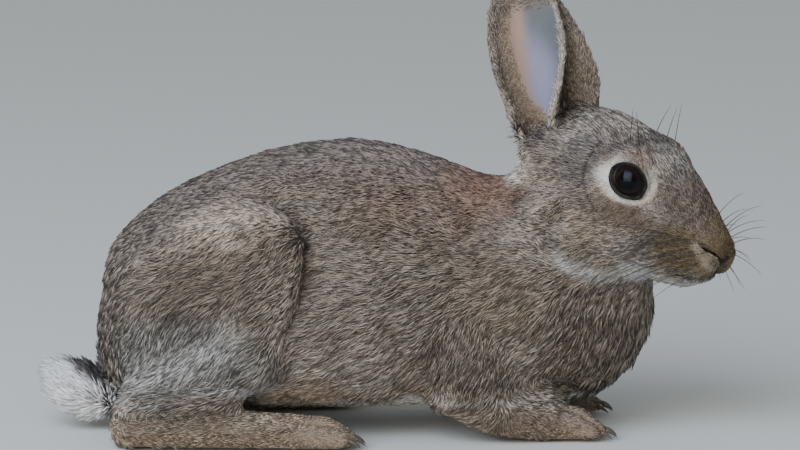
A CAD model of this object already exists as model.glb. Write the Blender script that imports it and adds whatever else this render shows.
"""A wild rabbit crouching on the ground: hide, eyes, coat, claws and whiskers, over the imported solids."""

import math

import bmesh
import bpy
import numpy as np
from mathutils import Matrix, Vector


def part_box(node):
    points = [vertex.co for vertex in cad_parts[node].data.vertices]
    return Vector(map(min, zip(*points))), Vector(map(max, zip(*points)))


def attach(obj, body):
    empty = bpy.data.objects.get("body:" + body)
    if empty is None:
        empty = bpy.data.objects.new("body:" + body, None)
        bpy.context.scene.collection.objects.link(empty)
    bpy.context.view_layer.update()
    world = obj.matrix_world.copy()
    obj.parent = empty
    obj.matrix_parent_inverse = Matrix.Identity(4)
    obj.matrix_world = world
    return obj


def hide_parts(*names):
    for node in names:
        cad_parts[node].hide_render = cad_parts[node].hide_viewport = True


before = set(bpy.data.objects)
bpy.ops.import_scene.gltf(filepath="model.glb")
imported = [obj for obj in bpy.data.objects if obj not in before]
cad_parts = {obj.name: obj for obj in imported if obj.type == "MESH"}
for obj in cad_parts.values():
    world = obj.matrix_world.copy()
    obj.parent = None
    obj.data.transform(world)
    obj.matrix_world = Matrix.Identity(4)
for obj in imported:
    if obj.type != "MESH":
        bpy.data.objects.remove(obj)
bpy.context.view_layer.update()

# ---------------------------------------------------------------- the hide
# One hide covers the whole rabbit, from the tips of its ears to its soles. It is drawn over the packed
# solids, which reach out to the tips of the coat, so it lies under their surface by the coat's depth there.
# Sizes are in millimetres. The head has a frame of its own: forward, to the rabbit's left, and up.
MM = 0.001
BETWEEN_EYES = np.array((99.4, -19.6, 106.2))
NOSE_DOWN = math.radians(18)
FLESH = [
    "head", "neck", "trunk", "tail", "ear_left", "ear_right",
    "haunch_left", "haunch_right", "hind_foot_left", "hind_foot_right",
    "foreleg_left", "foreleg_right", "forepaw_left", "forepaw_right",
]


def middle_of(node):
    low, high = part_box(node)
    return np.array((low + high) / 2)


eye_middles = {hand: middle_of("eye_" + hand) for hand in ("left", "right")}
ground_point = (eye_middles["left"] + eye_middles["right"]) / 2 - BETWEEN_EYES * MM
to_left = eye_middles["left"] - eye_middles["right"]
EYE_SIDE = np.linalg.norm(to_left) / 2 / MM
to_left = to_left / np.linalg.norm(to_left)
ahead = np.cross(to_left, (0, 0, 1)) * math.cos(NOSE_DOWN) - np.array((0, 0, math.sin(NOSE_DOWN)))
HEAD_AXES = np.array((ahead, to_left, np.cross(ahead, to_left)))


def in_head(points):
    """Points in the head's frame, which are called skull below. Brought to the right side they are jowl."""
    return (np.asarray(points) - BETWEEN_EYES) @ HEAD_AXES.T


def from_head(points):
    """Points in the head's frame brought back to the rabbit's."""
    return np.asarray(points) @ HEAD_AXES + BETWEEN_EYES


def rise(x, low, high):
    """A smooth step from 0 at low to 1 at high."""
    t = np.clip((x - low) / (high - low), 0, 1)
    return t * t * (3 - 2 * t)


def fading(away, reach):
    """1 at 0, falling away smoothly past a reach."""
    return np.exp(-((away / reach) ** 2))


def within(points, centre, radii, soft=0.35):
    """1 inside an ellipsoid, fading to 0 across a band about its surface."""
    away = np.linalg.norm((points - np.array(centre)) / np.array(radii), axis=1)
    return 1 - rise(away, 1 - soft, 1 + soft)


WAVES, WAVES_HEIGHT = 7, 2.6  # how many waves make up a ripple, and about how high they add up


def ripple(points, size, seed):
    """Smooth noise between about -1 and 1, from waves of about a size that run in random directions."""
    random = np.random.default_rng(seed)
    total = np.zeros(len(points))
    for _ in range(WAVES):
        way = random.normal(size=3)
        way *= random.uniform(0.7, 1.5) * 2 * math.pi / size / np.linalg.norm(way)
        total += np.sin(points @ way + random.uniform(0, 2 * math.pi))
    return total / WAVES_HEIGHT


def unit(vectors):
    return vectors / np.maximum(np.linalg.norm(vectors, axis=1), 1e-9)[:, None]


def mirrored(points):
    """The points brought to the rabbit's right side, which are called flank below."""
    return points * np.array((1, 0, 1)) - np.abs(points) * np.array((0, 1, 0))


# An ear is a trough bent about its own line. In the head's frame: its root, its tip and the way that its
# hollow faces. Along it change the radius of the trough and the angle that it spans to each side.
EARS = {
    "right": ((-49.6, -10.5, -1), (-79.7, -9.5, 63.6), (0.44, -0.835, 0.33)),
    "left": ((-45.8, 9.5, 2.2), (-83.9, 8, 58.7), (0.62, 0.72, 0.30)),
}
EAR_SHARES = (-0.18, 0.11, 0.28, 0.44, 0.61, 0.78, 0.90, 0.97, 1.00)
EAR_RADII = (5.0, 7.5, 10.6, 13.4, 15.8, 17.0, 17.2, 17.2, 17.2)
EAR_SPANS = (150, 126, 100, 78, 58, 39, 24, 12, 4)
EAR_THICK = 2.4
FURRED_AT = (0.0, 0.12, 0.20, 0.385, 0.57, 0.75, 1.0)  # share of the ear's length
FURRED_FROM = (-0.75, -0.35, 0.05, 0.26, 0.38, 0.28, 0.1)  # share across, behind which the hollow is furred


def ear_place(points, hand):
    """Where points lie on an ear: share along it, share from its front to its rear edge, distance out."""
    root, tip, opens = (np.array(v, float) for v in EARS[hand])
    length = np.linalg.norm(tip - root)
    axis = (tip - root) / length
    opens = opens - axis * (opens @ axis)
    opens /= np.linalg.norm(opens)
    across = np.cross(axis, opens)
    from_root = in_head(points) - root
    along = from_root @ axis / length
    radius = np.interp(along, EAR_SHARES, EAR_RADII)
    span = np.interp(along, EAR_SHARES, EAR_SPANS)
    sideways = from_root @ across
    backward = radius - from_root @ opens
    angle = np.degrees(np.arctan2(sideways, backward))
    return along, angle / span * (-1 if hand == "right" else 1), np.hypot(sideways, backward) - radius


def ear_share(points):
    """How far points belong to an ear, and whether they lie in its hollow."""
    belongs, hollow = np.zeros(len(points)), np.zeros(len(points))
    for hand in EARS:
        along, rear, out = ear_place(points, hand)
        thick = EAR_THICK * (1 - 0.45 * np.clip(along, 0, 1) ** 3)
        here = rise(along, 0.0, 0.10) * (1 - rise(along, 1.04, 1.10))
        here = here * (1 - rise(np.abs(out - thick / 2), 2.5, 4))
        furred_from = np.interp(along, FURRED_AT, FURRED_FROM)
        inside = here * (1 - rise(out, thick * 0.2, thick * 0.55))
        inside *= 1 - rise(rear, furred_from - 0.10, furred_from + 0.16)
        inside *= rise(rear, -1.0, -0.92) * rise(along, -0.02, 0.04) * (1 - rise(along, 0.64, 0.80))
        belongs, hollow = np.maximum(belongs, here), np.maximum(hollow, inside)
    return belongs, hollow


EYE_RADIUS = 8.3
LID_OPENS = 58  # degrees from the middle of the gaze to the edge of the lids
GAZE = np.array((0.208, -0.968, 0.14))  # the right eye's, in the head's frame
SIDES = {"left": 1, "right": -1}


def gaze_of(side):
    return GAZE * (1, -side, 1) / np.linalg.norm(GAZE)


def eye_middle(side):
    return np.array((0, side * EYE_SIDE, 0))


def eye_place(head_points, side):
    """Distance from an eyeball's middle, angle off its gaze, that of the lids' edge, and the way round."""
    gaze = gaze_of(side)
    from_eye = head_points - eye_middle(side)
    distance = np.linalg.norm(from_eye, axis=1)
    way = from_eye / np.maximum(distance, 1e-6)[:, None]
    away = np.degrees(np.arccos(np.clip(way @ gaze, -1, 1)))
    forward = np.array((1, 0, 0)) - gaze * gaze[0]
    forward /= np.linalg.norm(forward)
    upward = np.cross(forward, gaze) * side
    around = np.degrees(np.arctan2(way @ upward, way @ forward))
    corner_front = fading(around + 40, 20)
    corner_back = fading(np.abs(around) - 172, 22)
    narrowed = np.abs(np.sin(np.radians(around)))
    flattened = np.maximum(np.cos(np.radians(around - 50)), 0)
    edge = LID_OPENS + 9 * corner_front + 12 * corner_back - 10 * narrowed - 6 * flattened
    return distance, away, edge, around


def mesh_points(mesh):
    points = np.empty(len(mesh.vertices) * 3, np.float32)
    mesh.vertices.foreach_get("co", points)
    return (points.reshape(-1, 3).astype(float) - ground_point) / MM


def set_points(mesh, points):
    mesh.vertices.foreach_set("co", (points * MM + ground_point).astype(np.float32).ravel())
    mesh.update()


def mesh_normals(mesh):
    normals = np.empty(len(mesh.vertices) * 3, np.float32)
    mesh.vertex_normals.foreach_get("vector", normals)
    return normals.reshape(-1, 3).astype(float)


def mesh_edges(mesh):
    edges = np.empty(len(mesh.edges) * 2, np.int32)
    mesh.edges.foreach_get("vertices", edges)
    return edges.reshape(-1, 2)


def relaxed(points, edges, weight, rounds):
    """Points moved towards the middle of their neighbours, by a share of the way, some rounds over."""
    here, there = np.concatenate([edges, edges[:, ::-1]]).T
    count = np.bincount(here, minlength=len(points))[:, None]
    for _ in range(rounds):
        totals = [np.bincount(here, weights=points[there, k], minlength=len(points)) for k in range(3)]
        points = points + weight[:, None] * (np.stack(totals, axis=1) / count - points)
    return points


def placed(name, data):
    """An object in the scene that shows a mesh, or holds a light or the camera."""
    obj = bpy.data.objects.new(name, data)
    bpy.context.scene.collection.objects.link(obj)
    return obj


def settled_mesh(obj):
    """The object's mesh with its modifiers worked in, which leaves the object bare."""
    graph = bpy.context.evaluated_depsgraph_get()
    mesh = bpy.data.meshes.new_from_object(obj.evaluated_get(graph))
    obj.modifiers.clear()
    obj.data = mesh
    return mesh


SWELL = 0.35  # how far each solid is swollen, which closes the thin cuts between them
GRAIN = 0.94  # size of the cells that they are melted together in
SMOOTHINGS = 60
KEPT = 0.30  # share of the faces left where the hide is thinned
TAIL_BALL = ((-132, 0, 16), (22, 20, 17), 0.15)


def hide_from_solids():
    """One closed surface over all the solids, melted together and thinned where it is plain."""
    bm = bmesh.new()
    for node in FLESH + ["eye_left", "eye_right"]:
        solid = bmesh.new()
        solid.from_mesh(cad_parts[node].data)
        bmesh.ops.remove_doubles(solid, verts=solid.verts, dist=0.002 * MM)
        bmesh.ops.recalc_face_normals(solid, faces=solid.faces)
        solid.normal_update()
        for vertex in solid.verts:
            vertex.co += vertex.normal * SWELL * MM
        swollen = bpy.data.meshes.new(node)
        solid.to_mesh(swollen)
        solid.free()
        bm.from_mesh(swollen)
        bpy.data.meshes.remove(swollen)
    mesh = bpy.data.meshes.new("hide")
    bm.to_mesh(mesh)
    bm.free()
    obj = placed("hide", mesh)
    melt = obj.modifiers.new("melt", "REMESH")
    melt.mode = "VOXEL"
    melt.voxel_size = GRAIN * MM
    mesh = settled_mesh(obj)
    points = mesh_points(mesh)
    skull = in_head(points)
    ear, _ = ear_share(points)
    head = rise(skull[:, 0], -40, -20) * rise(skull[:, 2], -46, -40)
    feet = 1 - rise(points[:, 2], 14, 26)
    soften = 1 - 0.93 * np.maximum(ear, 0.96 * feet)
    soften = np.minimum(soften, 1 - 0.72 * head)
    soften = np.maximum(soften, 0.9 * within(mirrored(skull), (7, -9, 12), (8, 8, 6), 0.4))
    soften = np.maximum(soften, 0.6 * within(skull, (-35, 12, 11), (7, 6, 6), 0.5))
    soften *= 1 - 0.95 * within(points, *TAIL_BALL)
    set_points(mesh, relaxed(points, mesh_edges(mesh), soften, SMOOTHINGS))
    thin = obj.modifiers.new("thin", "DECIMATE")
    thin.ratio = KEPT
    settled_mesh(obj)
    return obj


hide = hide_from_solids()


def from_path(points, path):
    """Distance of points from a path of straight runs, in as many dimensions as it has."""
    path = np.array(path, float)
    nearest = np.full(len(points), np.inf)
    for start, end in zip(path, path[1:]):
        run = end - start
        t = np.clip((points - start) @ run / (run @ run), 0, 1)
        nearest = np.minimum(nearest, np.linalg.norm(points - start - t[:, None] * run, axis=1))
    return nearest


def about_path(points, path, reach):
    """1 on a path, falling away to 0 past its reach."""
    return fading(from_path(points, path), reach)


# Folds of the hide, drawn along and up as the side shows them. The thigh's edge runs from its top round the
# front and down to the knee. The cheek's folds are in the head's frame.
THIGH_EDGE = (
    (-84, 93), (-72, 97), (-60, 98.5), (-49, 96), (-42, 91), (-38.5, 84),
    (-38, 71), (-41, 56), (-47, 41), (-53, 28),
)
THIGH_FRONT = 4  # the point of the edge where its top goes over into its front
ELBOW_FOLD = ((-4, 52), (3, 38), (10, 26), (17, 17))
CHEEK_FOLD = ((-17, -17), (-18.5, -26), (-15, -34), (-3, -41))
PAD_FOLD = ((23, -9), (17, -17), (12, -26))  # between the cheek and the pad of the whiskers


def thigh_place(points):
    """Distance outward from the thigh's edge, on either side, and how much of an edge it has there."""
    seen = points[:, [0, 2]]
    away = from_path(seen, THIGH_EDGE)
    along_edge, up_edge = np.array(THIGH_EDGE).T
    front = np.interp(seen[:, 1], up_edge[:THIGH_FRONT - 1:-1], along_edge[:THIGH_FRONT - 1:-1])
    top = np.interp(seen[:, 0], along_edge[:THIGH_FRONT + 1], up_edge[:THIGH_FRONT + 1])
    behind = (seen[:, 0] < front) & (seen[:, 1] < top)
    edged = rise(seen[:, 0], -86, -58) * rise(np.abs(points[:, 1]), 22, 34) * rise(seen[:, 1], 22, 34)
    return np.where(behind, -away, away), edged


# How far the hide lies under the outline of the coat, from part to part.
DEPTHS = {"body": 3.4, "tail": 2.6, "head": 1.5, "feet": 1.0, "face": 0.7, "ear": 0.3, "crown": 0.2}


def coat_depth(points):
    """How deep the coat is at each point. It changes quickly to bring out the thigh, elbow and cheek."""
    ear, _ = ear_share(points)
    skull = in_head(points)
    head = rise(skull[:, 0], -48, -28) * rise(skull[:, 2], -50, -36)
    depth = np.full(len(points), DEPTHS["body"])
    depth += 0.8 * within(points, (75, 0, 50), (30, 40, 32))
    out, edged = thigh_place(points)
    beyond = rise(out, -1.5, 2.0) * (1 - rise(out, 5, 28))
    edged = edged * (0.4 + 0.6 * rise(points[:, 2], 46, 66))
    depth += edged * (3.4 * beyond - 1.5 * (1 - rise(out, -4, 0)) * rise(out, -40, -12))
    elbow = about_path(points[:, [0, 2]], ELBOW_FOLD, 4.5)
    depth += 2.0 * elbow * rise(np.abs(points[:, 1]), 24, 36)
    cheek = about_path(skull[:, [0, 2]], CHEEK_FOLD, 3.2)
    depth += 1.6 * cheek * rise(np.abs(skull[:, 1]), 10, 16)
    depth += (DEPTHS["tail"] - depth) * within(points, *TAIL_BALL)
    pad = about_path(skull[:, [0, 2]], PAD_FOLD, 2.2)
    folds = 1.9 * cheek + 1.1 * pad * rise(np.abs(skull[:, 1]), 7, 11)
    depth = depth + (DEPTHS["head"] + folds - depth) * head
    depth = depth + (DEPTHS["face"] + 0.6 * folds - depth) * head * rise(skull[:, 0], 4, 26)
    depth = depth + (DEPTHS["crown"] - depth) * within(skull, (-44, 1, 8), (11, 11, 9), 0.3)
    feet = (1 - rise(points[:, 2], 13, 22)) * rise(np.abs(points[:, 1]), 15, 22)
    depth = depth + (DEPTHS["feet"] - depth) * feet
    return depth + (DEPTHS["ear"] - depth) * ear


def refine(mesh, wanted):
    """Splits the edges of all the faces that lie where they are wanted finer."""
    chosen = wanted(mesh_points(mesh))
    bm = bmesh.new()
    bm.from_mesh(mesh)
    bm.verts.ensure_lookup_table()
    edges = [edge for edge in bm.edges if chosen[edge.verts[0].index] and chosen[edge.verts[1].index]]
    bmesh.ops.subdivide_edges(bm, edges=edges, cuts=1, use_grid_fill=True)
    bmesh.ops.triangulate(bm, faces=[face for face in bm.faces if len(face.verts) > 3])
    bm.to_mesh(mesh)
    bm.free()


# Of the hind and the fore toes: their middle line, where they part, and how far one is from the next.
TOES = ((44.2, -46, 4.7), (26.2, 58, 4.3))
TOES_LONG = 40


def near_features(margin):
    """Picks the points about the lids, the nose and the mouth, and the toes at first."""
    def picked(points):
        skull = in_head(points)
        chosen = (skull[:, 0] > 30 - margin) & (skull[:, 0] < 60)
        chosen &= (skull[:, 2] > -38) & (np.abs(skull[:, 1]) < 14)
        if margin:
            low = (points[:, 2] < 16) & (np.abs(points[:, 1]) > 12)
            for _, start, _ in TOES:
                chosen |= low & (points[:, 0] > start) & (points[:, 0] < start + TOES_LONG)
        for side in SIDES.values():
            chosen |= np.linalg.norm(skull - eye_middle(side), axis=1) < 14 + margin
        return chosen
    return picked


points = mesh_points(hide.data)
set_points(hide.data, points - mesh_normals(hide.data) * coat_depth(points)[:, None])
refine(hide.data, near_features(3))
refine(hide.data, near_features(0))

# Lines of the muzzle in the head's frame. The nostril and the cleft of the lip are drawn across and up, and
# the furrow between the nose's tip and the pad of the whiskers forward and up. The mouth is drawn in full.
NOSTRILS = ((0.1, -22.2), (2.6, -19.4), (5.8, -17.0), (9.8, -15.0))
LIP_CLEFT = ((0, -22.0), (0, -27.0))
PAD_FURROW = ((38.0, -16.0), (34.5, -12.0), (29.5, -8.0))
MOUTH = (
    (39.4, 0, -27.4), (39.2, 3.5, -28.0), (37.4, 7.5, -28.5), (32.5, 10.8, -28.7), (26, 12.8, -29.6),
)


def lids_formed(skull):
    """The head's points with the lids rolled over the eyeballs, and how bare they are there."""
    bare = np.zeros(len(skull))
    for side in SIDES.values():
        distance, away, edge, _ = eye_place(skull, side)
        past = away - edge
        rim = EYE_RADIUS - 1.6 + 2.4 * rise(past, -4, 1.5) + 0.45 * fading(past - 3, 3.0)
        rim -= 0.4 * rise(past, 7, 12)
        close = (distance < 16) * (1 - rise(past, 10, 26))
        eye = eye_middle(side)
        way = (skull - eye) / np.maximum(distance, 1e-6)[:, None]
        rolled = eye + way * (distance + (rim - distance) * close)[:, None]
        skull = np.where(close[:, None] > 0, rolled, skull)
        bare = np.maximum(bare, (distance < 14) * (1 - rise(past, 3.5, 6.5)))
    return skull, bare


def muzzle_formed(skull, facing):
    """The head's points with nostrils, lips and mouth sunk in, and how bare they are there."""
    front = rise(facing[:, 0], -0.15, 0.25) * rise(skull[:, 0], 26, 32)
    folded = mirrored(skull) * (1, -1, 1)
    across, up = folded[:, 1], folded[:, 2]
    nostril = from_path(folded[:, 1:], NOSTRILS)
    slit = fading(nostril, 0.95) * front
    groove = about_path(folded[:, 1:], LIP_CLEFT, 0.8) * front
    lips = about_path(folded, MOUTH, 1.3) * (1 - rise(facing[:, 2], 0.5, 0.9))
    gap = 0.8 + 0.75 * np.clip(-23 - up, 0, 5)  # the cleft widens towards the mouth
    opened = fading(across, gap) * rise(-up, 23, 25.5) * front
    opened = opened * (1 - rise(-up, 28.5, 30))
    dip = fading(across, 2.6) * rise(up, -29, -25) * (1 - rise(up, -19, -13)) * front
    recess = np.exp(-((across / 5.0) ** 2) - ((up + 22.5) / 5.0) ** 2) * front
    furrow = about_path(folded[:, [0, 2]], PAD_FURROW, 1.6) * rise(across, 4.5, 7.5)
    sunk = 1.6 * slit + 1.1 * groove + lips * (0.8 - 0.5 * rise(skull[:, 0], 33, 38)) + 0.5 * dip
    sunk = sunk + 2.1 * recess + 1.6 * opened + 1.1 * furrow
    swell = 0.45 * fading(nostril - 2.0, 1.0) * front
    skull = skull - facing * (sunk - swell)[:, None]
    bare = np.maximum(rise(slit, 0.3, 0.7), 0.8 * rise(groove, 0.5, 0.9))
    return skull, np.maximum(bare, 0.7 * rise(lips, 0.6, 0.9) * rise(skull[:, 0], 26, 33))


def toes_parted(points, normals):
    """The hide's points with grooves sunk between the toes, and none under the ground."""
    side_y = np.abs(points[:, 1])
    for middle, start, reach in TOES:
        toes = rise(points[:, 0], start, start + 12) * (points[:, 0] < start + TOES_LONG)
        toes = toes * (points[:, 2] < 16) * (side_y > 12)
        gap = np.min([np.abs(side_y - middle - reach * k) for k in (-1, 0, 1)], axis=0)
        toes = toes * fading(gap, 1.0) * rise(points[:, 2], 0.8, 2.5)
        points = points - normals * (2.0 * toes)[:, None]
    points[:, 2] = np.maximum(points[:, 2], 0.0)
    return points


def sculpted(mesh):
    """The hide's points with lids, muzzle and toes formed in it, and how bare and dark it is there."""
    points, normals = mesh_points(mesh), mesh_normals(mesh)
    skull = in_head(points)
    about = rise(skull[:, 0], 24, 30)
    for side in SIDES.values():
        about = np.maximum(about, 1 - rise(np.linalg.norm(skull - eye_middle(side), axis=1), 15, 19))
    points = relaxed(points, mesh_edges(mesh), about * 0.8, 8)
    skull, lids_bare = lids_formed(in_head(points))
    skull, muzzle_bare = muzzle_formed(skull, normals @ HEAD_AXES.T)
    return toes_parted(from_head(skull), normals), np.maximum(lids_bare, muzzle_bare)


sculpted_points, hide_bare = sculpted(hide.data)
set_points(hide.data, sculpted_points)


def add_value(mesh, name, values):
    """Stores one number for each point of a mesh."""
    stored = mesh.attributes.new(name, "FLOAT", "POINT")
    stored.data.foreach_set("value", np.asarray(values, np.float32))


# The markings, each as a light and a dark tint of hair. The plain coat is grizzled grey-brown.
GRIZZLE = ((0.56, 0.475, 0.395), (0.046, 0.037, 0.030))
MARKINGS = {
    "sable": ((0.27, 0.218, 0.182), (0.024, 0.018, 0.015)),
    "rust": ((0.285, 0.158, 0.102), (0.046, 0.024, 0.016)),
    "beige": ((0.62, 0.50, 0.40), (0.10, 0.070, 0.050)),
    "silver": ((0.53, 0.52, 0.50), (0.065, 0.060, 0.057)),
    "umber": ((0.30, 0.215, 0.16), (0.035, 0.022, 0.015)),
    "buff": ((0.56, 0.43, 0.31), (0.19, 0.13, 0.085)),
    "ochre": ((0.25, 0.175, 0.088), (0.052, 0.033, 0.016)),
    "cream": ((0.80, 0.73, 0.64), (0.45, 0.37, 0.29)),
    "white": ((0.88, 0.88, 0.88), (0.50, 0.49, 0.48)),
    "black": ((0.10, 0.085, 0.08), (0.012, 0.010, 0.009)),
}


# The pale ring about an eye, round from the rear by the lower side, the front and the upper side.
RING_AROUND = (-180, -155, -120, -90, -60, -30, 0, 30, 60, 90, 120, 150, 180)
RING_REACH = (12.3, 12.8, 11.0, 9.2, 9.6, 11.4, 11.8, 11.0, 10.6, 10.6, 10.2, 10.8, 12.3)
RING_PALE = (1, 1, 1, 1, 1, 1, 0.95, 0.5, 0.05, 0.0, 0.2, 0.7, 1)

# Patches of marking on the right side, which the left side mirrors: how strong, middle, reach and softness.
BODY_PATCHES = (
    ("sable", 0.65, (-120, 0, 62), (24, 60, 42), 0.4),  # the rump
    ("rust", 0.35, (8, -26, 94), (38, 30, 14), 0.8),  # behind the shoulder
    ("umber", 0.45, (-74, -46, 72), (20, 22, 11), 0.5),  # the thigh
    ("silver", 0.9, (-84, -46, 35), (34, 28, 19), 0.4),
    ("beige", 0.5, (40, -38, 58), (20, 20, 16), 0.5),  # the side of the breast
    ("silver", 0.35, (-18, -46, 40), (28, 22, 24), 0.5),  # the low flank
    ("beige", 0.9, (-18, -46, 36), (28, 22, 22), 0.5),
    ("umber", 0.35, (78, -10, 52), (24, 40, 30), 0.5),  # the brisket
    ("buff", 0.8, (-36, -44, 18), (26, 18, 11), 0.35),  # over the hind foot
)
NECK_PATCHES = (
    ("rust", 0.95, (36, -12, 98), (19, 30, 11), 0.8),
    ("umber", 0.55, (36, -36, 84), (26, 22, 14), 0.7),
    ("cream", 0.95, (50, -12, 108), (6, 13, 7), 0.5),
)
HEAD_PATCHES = (
    ("sable", 0.95, (-20, -17, 0), (9, 12, 10), 0.5),  # behind the eye
    ("silver", 0.3, (-20, -17, -1), (8, 12, 9), 0.5),
    ("rust", 0.5, (4, -13, 11.5), (7, 6, 3.5), 0.5),  # over the eye
    ("umber", 0.9, (1, -17, -13), (16, 10, 5), 0.5),  # under the eye
    ("sable", 0.85, (22, -5, -1), (14, 12, 9), 0.5),  # the bridge of the nose
    ("umber", 0.7, (24, -5, -3), (12, 12, 8), 0.5),
    ("beige", 0.7, (-7, -20, -23), (12, 12, 7), 0.5),  # the cheek
    ("silver", 0.5, (12, -14, -26), (7, 9, 8), 0.5),
    ("umber", 0.35, (26, -14, -25), (9, 8, 5), 0.5),
    ("ochre", 0.95, (29, -12, -18.5), (12.5, 9, 9), 0.35),  # the pad of the whiskers
    ("ochre", 0.85, (36.5, 0, -11), (9.5, 9, 7), 0.4),  # the nose's tip
    ("ochre", 0.9, (39, -3, -13.5), (7, 9, 6), 0.4),
    ("rust", 0.5, (39, -2, -13), (7, 8, 6), 0.4),
    ("ochre", 0.75, (40, -7, -23), (5, 6, 6.5), 0.4),  # the upper lip
    ("buff", 0.35, (38.5, -9, -20), (2.8, 3.2, 4.6), 0.45),
    ("buff", 0.35, (41, -6, -22), (3.0, 3.2, 3.4), 0.45),
    ("black", 0.9, (40, 0, -26.8), (4.5, 3.6, 2.6), 0.4),  # the cleft and between the nostrils
    ("black", 0.9, (40, 0, -20.2), (5.5, 3.8, 3.0), 0.4),
)
# Streaks of marking on the head, drawn forward and up: how strong, path and reach.
HEAD_STREAKS = (
    ("umber", 0.75, PAD_FOLD, 1.8),
    ("black", 0.35, PAD_FOLD, 1.2),
    ("black", 0.6, ((-15, 3), (-10, 9.5), (-3, 12.8), (6, 13.2)), 1.5),  # over the eye
    ("black", 0.6, ((-16, -20), (-17.5, -26), (-16, -31)), 1.6),  # behind the cheek
    ("white", 0.6, ((-10.5, -35.5), (-5, -38), (3, -38.5)), 2.6),  # the jaw
    ("white", 0.6, ((6, -36.8), (20, -34.5), (34, -32)), 1.7),
)
THIGH_PARTING = ((-93, 52), (-87, 55), (-80, 56.5), (-74, 56))
SHANK_SHADE = ((-86, 20), (-70, 20), (-56, 28))
NOSE_STRIPE = ((33.5, -15), (38, -18.6), (41.5, -22))


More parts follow.
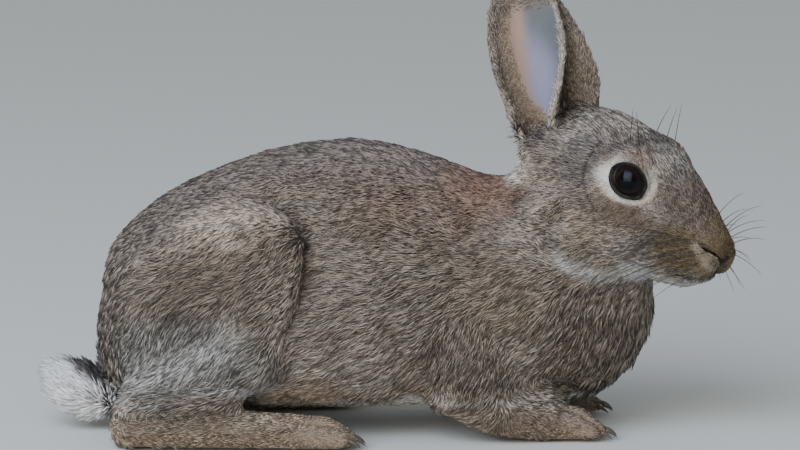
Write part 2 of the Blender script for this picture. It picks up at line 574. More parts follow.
def markings(points, normals):
    """How strongly each marking shows at points of the hide."""
    skull = in_head(points)
    flank = mirrored(points)
    jowl = mirrored(skull)
    ear, hollow = ear_share(points)
    head = rise(skull[:, 0], -40, -26) * rise(skull[:, 2], -46, -40) * (1 - ear)
    wobble = ripple(points, 14, 3)
    found = {name: np.zeros(len(points)) for name in MARKINGS}

    def mark(name, strength):
        found[name] = np.maximum(found[name], strength)

    for name, strength, middle, reach, soft in BODY_PATCHES:
        mark(name, strength * within(flank, middle, reach, soft))
    for name, strength, middle, reach, soft in NECK_PATCHES:
        mark(name, strength * within(flank, middle, reach, soft) * (1 - head))
    for name, strength, middle, reach, soft in HEAD_PATCHES:
        mark(name, strength * within(jowl, middle, reach, soft) * head)
    # the back and the belly
    on_thigh = within(flank, (-66, -46, 84), (26, 24, 20), 0.4)
    back = rise(normals[:, 2], 0.2, 0.7) * rise(flank[:, 2], 60, 85)
    mark("sable", back * (1 - 0.7 * on_thigh) * (1 - head))
    mark("umber", 0.35 * within(flank, (6, -44, 92), (26, 26, 9), 0.5) * (1 + wobble))
    foot = (1 - rise(flank[:, 2], 13, 19)) * rise(-flank[:, 1], 14, 20)
    mark("buff", 0.75 * foot * (1 - 0.6 * rise(flank[:, 2], 5, 12)))
    mark("white", 0.8 * (rise(-normals[:, 2], 0.55, 0.9) * rise(40 - flank[:, 2], 0, 15) * (1 - foot)))
    # the thigh, the shank and the elbow
    out, edged = thigh_place(points)
    mark("beige", 0.5 * within(flank, (-63, -44, 90), (24, 22, 13)) * rise(-out, 0, 3))
    crease = edged * fading(out - 1.5, 3.2)
    mark("black", 0.55 * crease * rise(points[:, 2], 62, 82))
    mark("umber", (0.3 + 0.45 * rise(points[:, 2], 48, 66)) * crease)
    beside = flank[:, [0, 2]]
    parting = about_path(beside, THIGH_PARTING, 1.5) * (flank[:, 1] < -20)
    mark("black", 0.55 * parting * (0.7 + 0.3 * wobble))
    mark("umber", 0.6 * about_path(beside, SHANK_SHADE, 4) * (flank[:, 1] < -24))
    mark("umber", 0.5 * about_path(beside, ELBOW_FOLD, 4) * (flank[:, 1] < -22))
    # the tail, white under and black on top
    tail = within(points, (-131, 0, 17), (21, 18, 15), 0.12)
    upper = rise(points[:, 0] + 0.95 * (points[:, 2] - 16), -122.5, -119.5)
    mark("white", tail * (1 - upper))
    mark("black", tail * upper)
    # the rings about the eyes
    for side in SIDES.values():
        distance, away, edge, around = eye_place(skull, side)
        reach = distance * np.sin(np.radians(away)) + 0.4 * wobble
        close = (distance < 20) * (away < 100) * rise(away - edge, 0, 4)
        ring = np.interp(around, RING_AROUND, RING_REACH)
        pale = np.interp(around, RING_AROUND, RING_PALE)
        inside = close * (1 - rise(reach, ring - 0.9, ring + 0.7))
        mark("cream", inside * pale)
        mark("white", 0.5 * inside * pale * (1 - rise(reach, 9.4, 11.0)))
        mark("buff", 0.30 * inside * (1 - pale))
        mark("umber", 0.55 * inside * (1 - pale))
        border = 0.5 * close * rise(reach, ring - 1, ring) * (1 - rise(reach, ring + 1, ring + 3))
        mark("beige", border * pale)
    # the muzzle, the mouth and the chin
    for name, strength, path, reach in HEAD_STREAKS:
        mark(name, strength * about_path(jowl[:, [0, 2]], path, reach) * head)
    stripe = about_path(jowl[:, [0, 2]], NOSE_STRIPE, 1.3)
    mark("cream", 0.28 * stripe * rise(-jowl[:, 1], 4, 6.5) * head)
    mark("white", 0.8 * rise(-normals @ HEAD_AXES[2], 0.35, 0.75) * rise(-jowl[:, 2], 27, 31) * head)
    lips = about_path(jowl, mirrored(np.array(MOUTH, float)), 1.7)
    mark("black", 0.85 * lips * rise(jowl[:, 0], 25, 31) * head)
    # the ears
    for hand in EARS:
        along, rear, out = ear_place(points, hand)
        seen, turned_away = (1, 0) if hand == "right" else (0, 1)
        here = ear * (along > 0) * (np.abs(out) < 5)
        front_rim = 1 - rise(rear, -0.97, -0.88)
        mark("cream", 0.62 * here * front_rim * (1 - rise(along, 0.75, 0.9)) * seen)
        mark("cream", 0.5 * here * rise(rear, 0.975, 1.01) * (1 - rise(along, 0.85, 0.95)))
        lined = here * (out < 1.2) * (1 - rise(rear, 0.6, 0.8))
        mark("buff", 0.75 * lined * (rear > -0.5) * (1 - 0.8 * rise(along, 0.58, 0.70)))
        mark("umber", 0.65 * lined * rise(along, 0.55, 0.68))
        mark("black", 0.8 * here * rise(along, 0.88, 1.0))
        mark("umber", 0.50 * seen * here * (1 - hollow))
        mark("beige", 0.8 * turned_away * here * (1 - rise(along, 0.4, 0.8)))
    mark("black", 0.6 * within(skull, (-47.6, 1, 10), (4, 6, 5), 0.5))
    return found


class Value:
    """A number that changes over a surface. A formula on it adds its Math nodes to the finish."""

    def __init__(self, finish, socket):
        self.finish, self.socket = finish, socket

    def math(self, operation, *others):
        return self.finish.node("ShaderNodeMath", {"operation": operation}, dict(enumerate(others)))

    def __add__(self, other):
        return self.math("ADD", self, other)

    def __mul__(self, other):
        return self.math("MULTIPLY", self, other)

    def __sub__(self, other):
        return self.math("SUBTRACT", self, other)

    def __rsub__(self, other):
        return self.math("SUBTRACT", other, self)

    __radd__, __rmul__ = __add__, __mul__

    def clipped(self):
        return self.math("MINIMUM", self.math("MAXIMUM", self, 0.0), 1.0)


class Finish:
    """A material with its Principled shader, and the nodes that feed it."""

    def __init__(self, name, **constants):
        self.material = bpy.data.materials.new(name)
        self.material.use_nodes = True
        self.tree = self.material.node_tree
        self.surface = self.tree.nodes["Principled BSDF"]
        for socket, value in constants.items():
            self.surface.inputs[socket.replace("_", " ")].default_value = value

    def node(self, kind, settings=None, inputs=None, out=0):
        """Adds a node, first sets it up, then gives its sockets their values or links."""
        node = self.tree.nodes.new(kind)
        for name, value in (settings or {}).items():
            if name == "stops":
                self.set_stops(node.color_ramp, value)
            else:
                setattr(node, name, value)
        for socket, value in (inputs or {}).items():
            self.feed(node.inputs[socket], value)
        return Value(self, node.outputs[out])

    def set_stops(self, ramp, stops):
        while len(ramp.elements) < len(stops):
            ramp.elements.new(1)
        for element, (place, level) in zip(ramp.elements, stops):
            element.position = place
            element.color = (level, level, level, 1)

    def feed(self, socket, value):
        if isinstance(value, Value):
            self.tree.links.new(value.socket, socket)
        elif isinstance(value, tuple) and len(value) == 3 and socket.type == "RGBA":
            socket.default_value = (*value, 1)
        else:
            socket.default_value = value

    def stored(self, name):
        """A number kept at each point of the mesh."""
        return self.node("ShaderNodeAttribute", {"attribute_name": name}, out="Fac")

    def noise(self, scale, detail=2.0, place=None):
        inputs = {"Scale": scale, "Detail": detail}
        if place is not None:
            inputs["Vector"] = place
        return self.node("ShaderNodeTexNoise", {}, inputs, "Fac")

    def blend(self, first, second, share):
        """A colour between two others."""
        return self.node("ShaderNodeMix", {"data_type": "RGBA"}, {0: share, 6: first, 7: second}, 2)

    def between(self, value, low, high):
        """0 to 1, as a value goes from low to high."""
        limits = {"Value": value, "From Min": low, "From Max": high}
        return self.node("ShaderNodeMapRange", {}, limits)

    def on(self, socket, value):
        self.feed(self.surface.inputs[socket], value)

    def marked(self, share):
        """The markings' colour, between their dark tint and their light one by a share."""
        light, dark = GRIZZLE
        for name, (tint_light, tint_dark) in MARKINGS.items():
            strength = self.stored(name)
            light = self.blend(light, tint_light, strength)
            dark = self.blend(dark, tint_dark, strength)
        return self.blend(dark, light, share)


hide_normals = mesh_normals(hide.data)
hide_points = mesh_points(hide.data)
hide_ear, hide_hollow = ear_share(hide_points)
for name, strength in markings(hide_points, hide_normals).items():
    add_value(hide.data, name, strength)
add_value(hide.data, "bare", hide_bare)
add_value(hide.data, "hollow", hide_hollow)
flush, slate = np.zeros(len(hide_points)), np.zeros(len(hide_points))
for hand in EARS:
    along, rear, out = ear_place(hide_points, hand)
    flush = np.maximum(flush, rise(rear, -0.18, 0.18) * hide_ear * (np.abs(out) < 4))
    shadowed = (1 - rise(rear, -0.75, -0.1)) * rise(along, 0.25, 0.6)
    shadowed = np.maximum(shadowed, rise(along - 0.25 * rear, 0.42, 0.72))
    slate = np.maximum(slate, shadowed * hide_ear * (np.abs(out) < 4))
add_value(hide.data, "flush", flush)
add_value(hide.data, "slate", slate)

HOLLOW_PALE = (0.225, 0.222, 0.305)
HOLLOW_FLUSH = (0.36, 0.25, 0.195)
HOLLOW_SLATE = (0.11, 0.12, 0.13)
BARE_DARK = (0.006, 0.005, 0.005)

skin = Finish("hide", Roughness=0.75, Specular_IOR_Level=0.2)
skin_at = skin.node("ShaderNodeTexCoord", out="Object")
strands = skin.noise(1500.0, 3.0, skin_at)
patches = skin.noise(260.0, 2.0, skin_at)
furred = skin.marked((0.12 + strands * 0.55).clipped())
shaded = skin.blend(HOLLOW_PALE, HOLLOW_SLATE, skin.stored("slate"))
flushed = skin.blend(shaded, HOLLOW_FLUSH, (skin.stored("flush") * (0.7 + patches * 0.5)).clipped())
coloured = skin.blend(furred, flushed, skin.stored("hollow"))
skin.on("Base Color", skin.blend(coloured, BARE_DARK, skin.stored("bare")))
skin.on("Roughness", 0.8 - skin.stored("bare") * 0.25 - skin.stored("hollow") * 0.2)
relief = {"Strength": 0.25, "Distance": 0.3 * MM, "Height": strands}
skin.on("Normal", skin.node("ShaderNodeBump", {}, relief, "Normal"))
hide.data.materials.clear()
hide.data.materials.append(skin.material)
hide.data.shade_smooth()
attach(hide, "root")
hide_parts(*FLESH)

# ---------------------------------------------------------------- the eyes
# A rabbit's eye is a large wet ball, nearly black, with a clear bulging front over a dark brown iris and a
# wide pupil. It sits in its socket behind the dark rim of the lids.
PUPIL_OPENS, IRIS_OPENS = 27, 47  # degrees from the middle of the gaze
BALL_ROUND, BALL_RINGS = 72, 48  # faces round the ball, and from its front to its back
BALL_DEEP, FRONT_BULGE = 0.2, 0.35  # how far it lies inside the solid eye, and how far its front bulges


def eyeball(hand):
    """A ball of rings of points, from the middle of the gaze to the back of the eye."""
    side = SIDES[hand]
    gaze = gaze_of(side)
    rings = [BALL_ROUND * ring + np.arange(BALL_ROUND) for ring in range(BALL_RINGS - 1)]
    front_point = BALL_ROUND * len(rings)
    back_point = front_point + 1
    faces = []
    for k in range(BALL_ROUND):
        after = (k + 1) % BALL_ROUND
        faces.append((front_point, rings[0][k], rings[0][after]))
        faces.append((back_point, rings[-1][after], rings[-1][k]))
        for near, far in zip(rings, rings[1:]):
            faces.append((near[k], far[k], far[after], near[after]))
    away = np.repeat(np.linspace(0, 180, BALL_RINGS + 1)[1:-1], BALL_ROUND)
    away = np.append(away, (0, 180))
    around = np.append(np.tile(np.arange(BALL_ROUND) * 2 * math.pi / BALL_ROUND, len(rings)), (0, 0))
    flat = np.sin(np.radians(away))
    ball = np.stack([flat * np.cos(around), flat * np.sin(around), np.cos(np.radians(away))], axis=1)
    mesh = bpy.data.meshes.new("eyeball_" + hand)
    mesh.from_pydata(ball.tolist(), [], [[int(corner) for corner in face] for face in faces])
    radius = EYE_RADIUS - BALL_DEEP + FRONT_BULGE * (1 - rise(away, 0, IRIS_OPENS + 6))
    across = np.cross(gaze, (0, 0, 1))
    across /= np.linalg.norm(across)
    turned = ball @ np.array((across, np.cross(gaze, across), gaze))
    set_points(mesh, from_head(turned * radius[:, None] + eye_middle(side)))
    add_value(mesh, "away", away / 90)
    mesh.shade_smooth()
    return placed("eyeball_" + hand, mesh)


BLUISH = (0.72, 0.84, 1.0, 1)
PUPIL_BLACK = (0.001, 0.001, 0.001)
IRIS_DARK = (0.005, 0.003, 0.002)
IRIS_BROWN = (0.013, 0.006, 0.004)
WHITE_OF_EYE = (0.02, 0.014, 0.013)  # dark too, where it shows beside the iris

wet = Finish("wet eye", Roughness=0.03, IOR=1.36, Specular_IOR_Level=0.30, Specular_Tint=BLUISH)
off_centre = wet.stored("away") * 90
streaks = wet.noise(900.0, 3.0, wet.node("ShaderNodeTexCoord", out="Object"))
iris_share = wet.between(off_centre, PUPIL_OPENS - 2, PUPIL_OPENS + 3)
white_share = wet.between(off_centre, IRIS_OPENS + 1, IRIS_OPENS + 5)
iris = wet.blend(IRIS_DARK, IRIS_BROWN, streaks)
pupil_and_iris = wet.blend(PUPIL_BLACK, iris, iris_share)
wet.on("Base Color", wet.blend(pupil_and_iris, WHITE_OF_EYE, white_share))
for hand in SIDES:
    eye = eyeball(hand)
    eye.data.materials.append(wet.material)
    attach(eye, "root")
    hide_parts("eye_" + hand)

# ---------------------------------------------------------------- the coat
# The coat is made of many fine tufts rooted in the hide. Each is a slim closed spike that leaves the hide at
# a slant and bends down to lie along the body. They are long on the body and shortest on the face and toes.
SEED = 41


def lie_of_coat(points, normals):
    """The way that the hair grows: from nose to tail, down the flanks, and out to toes and ear tips."""
    skull, flank = in_head(points), mirrored(points)
    ways = np.tile((-1.0, 0.0, -0.14), (len(points), 1))

    def turn(way, weight):
        nonlocal ways
        way = np.asarray(way, float)
        way = way / np.linalg.norm(way, axis=-1, keepdims=True)
        ways = ways + (way - ways) * weight[:, None]

    turn((-0.86, 0, -0.5), 1 - rise(flank[:, 2], 30, 80))
    turn((-0.80, 0, -0.52), within(flank, (-72, -44, 72), (40, 30, 26)))
    turn((-0.62, 0, -0.80), within(flank, (-84, -44, 42), (38, 30, 20)))
    turn((-0.96, 0, -0.28), within(flank, (-80, -46, 16), (34, 26, 12)))
    turn((-0.30, 0, -0.95), 1 - rise(flank[:, 0], -118, -102))
    turn((-0.80, 0, -0.60), within(flank, (60, -26, 80), (30, 24, 30)))
    turn((-0.45, 0, -0.90), within(flank, (78, 0, 50), (32, 44, 34)))
    turn((-1, 0, 0), rise(-normals[:, 2], 0.5, 0.9) * (flank[:, 0] < 40))
    turn((-0.25, 0, -0.95), within(flank, (26, -32, 34), (20, 18, 18)))
    turn((0.95, 0, -0.30), within(flank, (62, -27, 12), (34, 14, 16)))
    turn((1, 0, -0.06), (1 - rise(flank[:, 2], 13, 20)) * rise(-flank[:, 1], 28, 33) * (flank[:, 0] < 5))
    turn((-0.90, 0, 0.44), within(points, (-132, 0, 17), (20, 20, 16), 0.1))
    head = rise(skull[:, 0], -52, -34) * rise(skull[:, 2], -50, -40)
    from_nose = unit(skull - np.array((47, 0, -17)))
    on_head = np.tile((-1.0, 0.0, 0.05), (len(points), 1))
    for way, weight in (
        ((-0.85, 0, 0.45), rise(skull[:, 0], 2, 12) * rise(skull[:, 2], -14, -6)),
        ((-0.74, 0, -0.62), (1 - rise(skull[:, 2], -12, -4)) * (1 - rise(skull[:, 0], 16, 26))),
        ((-0.85, 0, -0.50), rise(-skull[:, 0], 8, 16) * (1 - rise(skull[:, 2], 4, 12))),
        ((-0.95, 0, -0.20), rise(skull[:, 0], 20, 27) * (1 - rise(skull[:, 2], -14, -8))),
    ):
        on_head += (unit(np.array([way], float)) - on_head) * weight[:, None]
    on_head = on_head + 0.35 * from_nose
    for side in SIDES.values():
        distance, away, edge, _ = eye_place(skull, side)
        out = unit(skull - eye_middle(side) - gaze_of(side) * EYE_RADIUS)
        on_head += out * (0.9 * (distance < 20) * (1 - rise(away - edge, 6, 32)))[:, None]
    turn(on_head @ HEAD_AXES, head)
    for hand, (root, tip, opens) in EARS.items():
        along, rear, out = ear_place(points, hand)
        axis = np.array(tip, float) - np.array(root)
        axis /= np.linalg.norm(axis)
        across = np.cross(axis, opens) * (-1 if hand == "right" else 1)
        ear = rise(along, -0.06, 0.06) * (1 - rise(np.abs(out - 1.2), 3, 5)) * (along < 1.1)
        inner = 1 - rise(out, 0.4, 1.2)
        turn((axis * 0.8 + across * 0.6) @ HEAD_AXES, ear * inner * rise(rear, 0, 0.2))
        turn((axis * 0.9 + across * 0.45) @ HEAD_AXES, ear * inner * (1 - rise(rear, -0.8, -0.6)))
        turn(axis @ HEAD_AXES, ear * (1 - inner))
    return ways


BODY_HAIR = (6.4, 0.43, 23.0)  # length and width in millimetres, and slant off the hide in degrees


def hair_sizes(points):
    """Length, width and slant of the hair. It is changed from part to part, the finest parts last."""
    skull, flank = in_head(points), mirrored(points)
    length, width, slant = (np.full(len(points), size) for size in BODY_HAIR)

    def change(values, to, weight):
        values += (to - values) * weight

    change(length, 5.6, rise(flank[:, 2], 60, 90))
    chest = within(flank, (80, 0, 46), (28, 44, 30))
    change(length, 8.3, chest)
    change(width, 0.36, chest)
    change(slant, 28, chest)
    change(length, 7.6, within(flank, (-96, 0, 42), (30, 60, 34)))
    feet = (1 - rise(flank[:, 2], 12, 22)) * rise(-flank[:, 1], 14, 20)
    change(length, 4.0, feet)
    change(width, 0.40, feet)
    change(slant, 22, feet)
    for _, start, _ in TOES:
        end = start + TOES_LONG
        toes = feet * rise(flank[:, 0], start - 4, start + 10) * (1 - rise(flank[:, 0], end, end + 10))
        change(length, 2.1, toes)
    tail = within(points, (-132, 0, 17), (22, 20, 17), 0.1)
    change(length, 9 - 4 * rise(-flank[:, 0], 134, 142), tail)
    change(width, 0.46, tail)
    change(slant, 24, tail)
    head = rise(skull[:, 0], -50, -32) * rise(skull[:, 2], -48, -38)
    change(length, 4.6, head)
    change(width, 0.37, head)
    change(length, 3.2, head * rise(skull[:, 0], -14, 8) * rise(skull[:, 2], -30, -18))
    crown = within(skull, (-46, 1, 9), (9, 10, 8), 0.4)
    left_root = within(skull, (-37, 11, 5), (10, 9, 8), 0.4)
    right_root = within(skull, (-52, -12, -5), (10, 12, 9), 0.4)
    ear_roots = np.maximum(left_root, right_root)
    change(length, 5.6, ear_roots)
    change(slant, 36, ear_roots)
    change(length, 6.5, crown)
    change(slant, 50, crown)
    before_ear = within(skull, (-34, 6, 14), (7, 9, 6), 0.5)
    change(length, 6.8, before_ear)
    change(slant, 44, before_ear)
    brow = within(mirrored(skull), (9, -9, 11), (7, 7, 5), 0.5)
    change(length, 4.2, brow)
    change(slant, 38, brow)
    change(length, 2.0, head * rise(skull[:, 0], 14, 32) * rise(skull[:, 2], -30, -24))
    change(length, 1.2, head * rise(skull[:, 0], 33, 39))
    change(width, 0.28, head * rise(skull[:, 0], 8, 30))
    change(slant, 24, head)
    for side in SIDES.values():
        distance, away, edge, _ = eye_place(skull, side)
        about = (distance < 18) * (1 - rise(away - edge, 24, 46))
        change(length, 1.7, about)
        change(width, 0.28, about)
    ear, _ = ear_share(points)
    change(length, 2.6, ear)
    change(width, 0.36, ear)
    change(slant, 14, ear)
    for hand in EARS:
        along, rear, out = ear_place(points, hand)
        fringe = ear * (1 - rise(rear, -0.97, -0.90)) * (np.abs(out) < 4) * rise(along, 0.05, 0.15)
        change(length, 3.2, fringe)
        change(width, 0.30, fringe)
        hidden = ear * (out < 1.2) * (1 - rise(rear, 0.7, 0.9)) * (rear > -0.8)
        change(length, 1.9, hidden)
        change(width, 0.30, hidden)
    return length, width, slant


def mesh_faces(mesh):
    """The corners of each face, of a mesh of triangles."""
    corners = np.empty(len(mesh.polygons) * 3, np.int32)
    mesh.polygons.foreach_get("vertices", corners)
    return corners.reshape(-1, 3)


TRIES = 4  # points tried for each one kept
CELLS = 4096  # more than the cells along any side of the rabbit


def scattered(mesh, chosen, spacing, random):
    """Points spread evenly over the chosen faces: where, the corners of the face, and the share of each."""
    corners = mesh_faces(mesh)[chosen]
    points = mesh_points(mesh)
    a, b, c = (points[corners[:, k]] for k in range(3))
    areas = np.linalg.norm(np.cross(b - a, c - a), axis=1) / 2
    tries = int(areas.sum() / spacing**2 * TRIES)
    face = random.choice(len(corners), size=tries, p=areas / areas.sum())
    s, t = random.random((2, tries))
    over = s + t > 1
    s, t = np.where(over, 1 - s, s), np.where(over, 1 - t, t)
    spread = a[face] + (b - a)[face] * s[:, None] + (c - a)[face] * t[:, None]
    cells = np.floor(spread / spacing).astype(np.int64)
    _, first = np.unique(cells @ np.array((1, CELLS, CELLS**2)), return_index=True)
    shares = np.stack([1 - s - t, s, t], axis=1)
    return spread[first], corners[face[first]], shares[first]


def carried(values, corners, shares):
    """Values kept at the hide's points, read at scattered points."""
    return (values[corners] * (shares if values.ndim == 1 else shares[:, :, None])).sum(axis=1)


TUFT_FACES = np.array(((0, 2, 1), (0, 1, 4), (0, 4, 3), (0, 3, 2), (1, 2, 3), (1, 3, 4)))
TUFT_ALONG = (0, 0, 0, 0.5, 1)
TUFT_ACROSS = (0, 1, 0.5, 0.5, 0.5)
PATCH = 0.003  # side of a tuft's patch on the coat's unwrap
FLATNESS = 0.35  # how thick a tuft is to its width
LAID_DOWN = 0.22  # slant of its outer half to that of its inner half
OFF_GROUND = 0.15


def coat_piece(name, slot, marks, roots, normals, ways, length, width, slant, shade):
    """One mesh of tufts, each a closed spike with a bend in it."""
    count = len(roots)
    ways = unit(ways - normals * (ways * normals).sum(axis=1)[:, None])
    side = np.cross(normals, ways)
    slant = np.radians(slant)
    bend = slant * LAID_DOWN
    half = (length / 2)[:, None]
    first = ways * np.cos(slant)[:, None] + normals * np.sin(slant)[:, None]
    second = ways * np.cos(bend)[:, None] + normals * np.sin(bend)[:, None]
    over_first = normals * np.cos(slant)[:, None] - ways * np.sin(slant)[:, None]
    over_second = normals * np.cos(bend)[:, None] - ways * np.sin(bend)[:, None]
    root = roots - normals * FLATNESS * width[:, None]
    knee = roots + first * half
    wide = width[:, None]
    corners = np.stack([
        root + side * wide * 0.5, root - side * wide * 0.5, root + over_first * wide * FLATNESS,
        knee + over_second * wide * FLATNESS, knee + second * half,
    ], axis=1).reshape(-1, 3)
    corners[:, 2] = np.maximum(corners[:, 2], OFF_GROUND)
    faces = (TUFT_FACES[None] + len(TUFT_ALONG) * np.arange(count)[:, None, None]).reshape(-1, 3)
    mesh = bpy.data.meshes.new(name)
    mesh.vertices.add(len(corners))
    mesh.loops.add(faces.size)
    mesh.polygons.add(len(faces))
    mesh.loops.foreach_set("vertex_index", faces.astype(np.int32).ravel())
    mesh.polygons.foreach_set("loop_start", np.arange(0, faces.size, 3, dtype=np.int32))
    mesh.update(calc_edges=True)
    set_points(mesh, corners)
    add_value(mesh, "along", np.tile(TUFT_ALONG, count))
    add_value(mesh, "shade", np.repeat(shade, len(TUFT_ALONG)))
    for mark, strength in marks.items():
        add_value(mesh, mark, np.repeat(strength, len(TUFT_ALONG)))
    unwrap(mesh, roots, count)
    mesh.shade_smooth()
    obj = placed(name, mesh)
    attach(obj, "root")
    return obj


def unwrap(mesh, roots, count):
    """Gives each tuft a small patch of its own, in the order of the roots round and along the body."""
    around = np.arctan2(roots[:, 1], roots[:, 2] - 50)
    columns = math.ceil(math.sqrt(count))
    by_angle = np.argsort(around, kind="stable")
    column = np.empty(count, int)
    column[by_angle] = np.arange(count) // columns
    order = np.lexsort((roots[:, 0], column))
    row = np.empty(count, int)
    row[order] = np.arange(count) - column[order] * columns
    cell = 1 / (columns + 1)
    corner = np.stack([column, row], axis=1) * cell + cell / 2
    spread = np.stack([TUFT_ACROSS, TUFT_ALONG], axis=1) - 0.5
    places = corner[:, None, :] + spread[None] * min(PATCH, cell * 0.8)
    places = places[:, TUFT_FACES.ravel(), :]
    mesh.uv_layers.new(name="OFBake").uv.foreach_set("vector", places.astype(np.float32).ravel())


# How pale a hair is from its root to its tip. Most have a dark root and a pale band, and some a black tip.
PALE_BANDED = ((0.0, 0.06), (0.28, 0.32), (0.58, 0.97), (0.82, 1.0), (1.0, 0.60))
BLACK_TIPPED = ((0.0, 0.35), (0.30, 0.45), (0.55, 0.80), (0.80, 0.30), (1.0, 0.0))

fur = Finish("fur", Roughness=0.62)
along_hair, hair_shade = fur.stored("along"), fur.stored("shade")
band = fur.node("ShaderNodeValToRGB", {"stops": PALE_BANDED}, {"Fac": along_hair})
black_tip = fur.node("ShaderNodeValToRGB", {"stops": BLACK_TIPPED}, {"Fac": along_hair})
dark_hair = fur.between(hair_shade, 0.52, 0.40)
share = band + (black_tip * 0.55 - band) * dark_hair
share = (share * (0.32 + hair_shade * 0.85)).clipped()
fur.on("Base Color", fur.marked(share))

hide_corners = mesh_faces(hide.data)
face_middle = hide_points[hide_corners].mean(axis=1)
face_normal = unit(hide_normals[hide_corners].mean(axis=1))
face_ear, face_hollow = ear_share(face_middle)
face_bare = hide_bare[hide_corners].max(axis=1)
skull = in_head(face_middle)
flank = mirrored(face_middle)
sole = (face_middle[:, 2] < 2.2) & (face_normal[:, 2] < -0.4)
growing = (face_bare < 0.4) & (face_hollow < 0.9) & ~sole
on_ear = face_ear > 0.5
on_head = (skull[:, 0] > -44) & (skull[:, 2] > -44) & ~on_ear
on_muzzle = on_head & (skull[:, 0] > 8)
on_tail = within(face_middle, (-130, 0, 16), (20, 18, 14), 0.1) > 0.5
on_foot = (flank[:, 2] < 17) & (flank[:, 1] < -17) & ~on_tail & ((flank[:, 0] > 30) | (flank[:, 0] < 0))
on_body = ~(on_ear | on_head | on_tail | on_foot)

COATS = (
    ("body_coat", on_body, 0.69, "body_fur"),
    ("head_coat", on_head & ~on_muzzle, 0.53, "head_fur"),
    ("muzzle_coat", on_muzzle, 0.45, "head_fur"),
    ("ear_coat", on_ear, 0.55, "ear_skin"),
    ("foot_coat", on_foot, 0.70, "foot_fur"),
    ("tail_coat", on_tail, 0.56, "tail_fur"),
)
MOST_TUFTS = 32000  # in one piece of the coat
STRAY, CLUMPED, LOOSE = 0.20, 0.17, 0.13  # how far hairs turn in broad swirls, in small locks, and alone

random = np.random.default_rng(SEED)
for name, region, spacing, slot in COATS:
    roots, corners, shares = scattered(hide.data, region & growing, spacing, random)
    under = 0.45 * rise(-carried(hide_normals, corners, shares)[:, 2], 0.75, 0.95) * (roots[:, 2] > 8)
    thinned = random.random(len(roots)) > np.maximum(carried(hide_hollow, corners, shares) * 1.15, under)
    roots, corners, shares = roots[thinned], corners[thinned], shares[thinned]
    normals = unit(carried(hide_normals, corners, shares))
    length, width, slant = hair_sizes(roots)
    count = len(roots)
    ways = unit(lie_of_coat(roots, normals))
    stray = np.stack([ripple(roots, 22, 5 + k) for k in range(3)], axis=1) * STRAY
    clump = np.stack([ripple(roots, 5.0, 15 + k) for k in range(3)], axis=1) * CLUMPED
    ways = ways + stray + clump + random.normal(size=(count, 3)) * LOOSE
    length = length * random.uniform(0.72, 1.18, count) * (1 + 0.12 * ripple(roots, 7, 25))
    slant = slant * random.uniform(0.65, 1.3, count)
    shade = random.random(count) * 0.62 + 0.38 * (0.5 + 0.5 * ripple(roots, 2.0, 35))
    marks = markings(roots, normals)
    order = np.argsort(roots[:, 0], kind="stable")
    parts = math.ceil(count / MOST_TUFTS)
    for k, chosen in enumerate(np.array_split(order, parts)):
        part_name = f"{name}_{k + 1}" if parts > 1 else name
        part_marks = {mark: strength[chosen] for mark, strength in marks.items()}
        tufts = [values[chosen] for values in (roots, normals, ways, length, width, slant, shade)]
        piece = coat_piece(part_name, slot, part_marks, *tufts)
        piece.data.materials.append(fur.material)

# ---------------------------------------------------------------- the claws
# Each of the four toes of a foot ends in a dark horn claw. It is slim and a little curved, grows from the
# toe's tip, and comes out through the fur.
HIND_TOES = ((-20, 44, 4), 4.5)  # the end of the middle of a paw, and the gap from toe to toe
FORE_TOES = ((80, 26, 3.6), 3.9)
CLAW_LONG, CLAW_THICK = 4.6, 0.9
CLAW_TAPER = (1.0, 0.95, 0.82, 0.64, 0.40)
CLAW_HOOK = 2.4  # how far its tip curves down
HORN_DARK, HORN_PALE = (0.06, 0.045, 0.036), (0.13, 0.10, 0.08)


def round_tube(lines, radii, sides):
    """A closed mesh of round tubes along lines of points, each with its radii, which end in points."""
    bm = bmesh.new()
    for line, thick in zip(lines, radii):
        line = np.asarray(line, float)
        ways = unit(np.gradient(line, axis=0))
        across = unit(np.cross(ways, np.tile((0.1, 0.2, 1.0), (len(line), 1))))
        over = np.cross(across, ways)
        rings = []
        for point, a, b, radius in zip(line[:-1], across, over, thick):
            turns = [2 * math.pi * k / sides for k in range(sides)]
            ring = [point + (a * math.cos(t) + b * math.sin(t)) * radius for t in turns]
            rings.append([bm.verts.new(corner * MM + ground_point) for corner in ring])
        tip = bm.verts.new(line[-1] * MM + ground_point)
        bm.faces.new(rings[0][::-1])
        for low, high in zip(rings, rings[1:]):
            for k in range(sides):
                bm.faces.new((low[k], low[k - sides + 1], high[k - sides + 1], high[k]))
        for k in range(sides):
            bm.faces.new((rings[-1][k], rings[-1][k - sides + 1], tip))
    bmesh.ops.recalc_face_normals(bm, faces=bm.faces)
    mesh = bpy.data.meshes.new("tubes")
    bm.to_mesh(mesh)
    bm.free()
    mesh.shade_smooth()
    return mesh


horn = Finish("horn", Roughness=0.35)
growth = horn.noise(700.0, 2.0, horn.node("ShaderNodeTexCoord", out="Object"))
horn.on("Base Color", horn.blend(HORN_DARK, HORN_PALE, growth))
claw_lines, claw_radii = [], []
for (x, y, z), gap in (HIND_TOES, FORE_TOES):
    for side in SIDES.values():
        for k in (-1.5, -0.5, 0.5, 1.5):
            end = np.array((x - k * k + 2.2, (y + gap * k * 1.02) * side, z + 0.4))
            bend = np.linspace(0, 1, 6)
            straight = end + np.outer(bend, (CLAW_LONG, 0.3 * k * side, -0.4))
            claw_lines.append(straight - np.outer(bend**2, (0, 0, CLAW_HOOK)))
            claw_radii.append(CLAW_THICK * np.array(CLAW_TAPER))
claws = placed("claws", round_tube(claw_lines, claw_radii, 8))
claws.data.materials.append(horn.material)
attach(claws, "root")

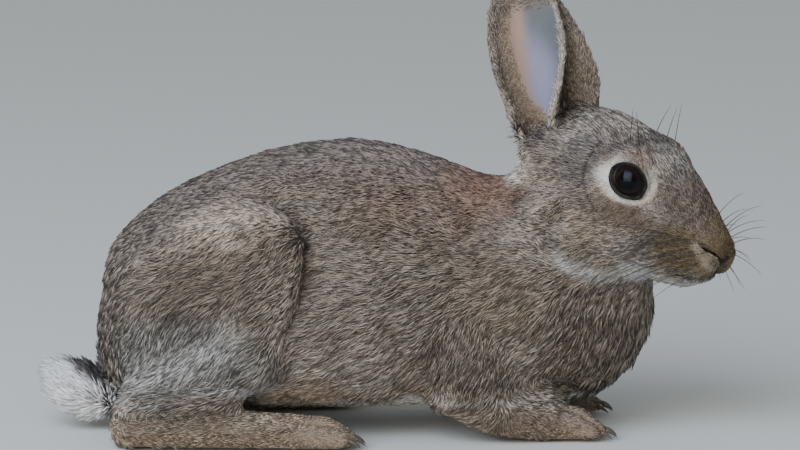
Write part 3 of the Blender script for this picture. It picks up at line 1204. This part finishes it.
# ---------------------------------------------------------------- the whiskers
# Long springy hairs grow in rows from the pads beside the nose, and a few over each eye. They are dark and
# stiff at the root, and taper to nothing.
WHISKER_ROWS = ((-13.5, 0.20), (-17.0, 0.02), (-20.5, -0.18), (-24.0, -0.40))  # height on the pad, and lift
WHISKER_THICK, WHISKER_SAG = 0.20, 0.22
WHISKER_BLACK, WHISKER_BROWN = (0.008, 0.006, 0.005), (0.05, 0.042, 0.036)


def hide_at(head_points):
    """The nearest points of the hide."""
    nearest = [np.argmin(((hide_points - point) ** 2).sum(axis=1)) for point in from_head(head_points)]
    return hide_points[nearest]


random = np.random.default_rng(SEED + 1)
whisker_lines, whisker_radii = [], []
steps = np.linspace(0, 1, 10)
for side in SIDES.values():
    starts, ways, lengths = [], [], []
    for height, lift in WHISKER_ROWS:
        for column in range(5):
            starts.append((37 - 3.0 * column, side * (10.5 + 0.6 * column), height))
            swing, spread, drop = (-0.80, 0.60, 0.34) if side < 0 else (0.02, 0.95, 0)
            way = (swing - 0.08 * column, side * spread, lift - drop)
            ways.append(way + random.normal(size=3) * (0.10, 0.05, 0.10))
            lengths.append((26 + 5 * column) * random.uniform(0.8, 1.15))
    for k in range(3):
        starts.append((2 - 5 * k, side * 11, 14))
        ways.append((-0.35 + 0.15 * k, side * 0.35, 1.0))
        lengths.append(21 * random.uniform(0.8, 1.1))
    for start, way, length in zip(hide_at(starts), np.array(ways) @ HEAD_AXES, lengths):
        way = way / np.linalg.norm(way)
        sag = np.array((0, 0, -1)) * WHISKER_SAG * length
        whisker_lines.append(start + np.outer(steps * length, way) + np.outer(steps**2, sag))
        whisker_radii.append(WHISKER_THICK * (1 - 0.75 * steps[:-1]))
whisker = Finish("whisker", Roughness=0.4)
whisker.on("Base Color", whisker.blend(WHISKER_BLACK, WHISKER_BROWN, whisker.noise(90.0)))
whiskers = placed("whiskers", round_tube(whisker_lines, whisker_radii, 5))
whiskers.data.materials.append(whisker.material)
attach(whiskers, "root")

# ---------------------------------------------------------------- the studio
# The rabbit stands on a plain pale floor and is seen from its right and a little above. A broad soft light
# stands for an overcast sky, and a smaller bluish one for a window.
CAMERA_AWAY, CAMERA_LIFT, CAMERA_LENS = 2.667, math.radians(10), 300
LOOK_AT = np.array((0, 0, 82.2))
FLOOR_HALF = 6
FLOOR_DARK, FLOOR_PALE = (0.62, 0.63, 0.60), (0.68, 0.69, 0.66)

bm = bmesh.new()
bmesh.ops.create_grid(bm, x_segments=8, y_segments=8, size=FLOOR_HALF)
floor_mesh = bpy.data.meshes.new("floor")
bm.to_mesh(floor_mesh)
bm.free()
floor = placed("floor", floor_mesh)
pale = Finish("pale floor", Roughness=0.9)
pale.on("Base Color", pale.blend(FLOOR_DARK, FLOOR_PALE, pale.noise(6.0, 3.0)))
floor.data.materials.append(pale.material)

camera = placed("camera", bpy.data.cameras.new("camera"))
camera.data.lens = CAMERA_LENS
camera.data.sensor_width = 36
camera.data.clip_end = 50
target = LOOK_AT * MM + ground_point
camera.location = target + CAMERA_AWAY * np.array((0, -math.cos(CAMERA_LIFT), math.sin(CAMERA_LIFT)))
camera.rotation_euler = (math.pi / 2 - CAMERA_LIFT, 0, 0)
bpy.context.scene.camera = camera


def softbox(name, place, size, power, colour):
    """A square soft light that faces the rabbit."""
    light = bpy.data.lights.new(name, "AREA")
    light.size, light.energy, light.color = size, power, colour
    obj = placed(name, light)
    obj.location = place
    way = target - np.array(place)
    tilt = math.acos(-way[2] / np.linalg.norm(way))
    obj.rotation_euler = (tilt, 0, math.atan2(way[1], way[0]) - math.pi / 2)


softbox("overcast sky", (-1.00, -1.90, 1.00), 2.4, 60, (1.0, 0.93, 0.78))
softbox("window", (-0.80, -1.10, 1.15), 1.4, 25, (0.50, 0.67, 1.0))
world = bpy.data.worlds.new("soft sky")
bpy.context.scene.world = world
world.use_nodes = True
sky = world.node_tree.nodes["Background"]
sky.inputs["Color"].default_value = (0.90, 0.95, 1.0, 1)
sky.inputs["Strength"].default_value = 0.45
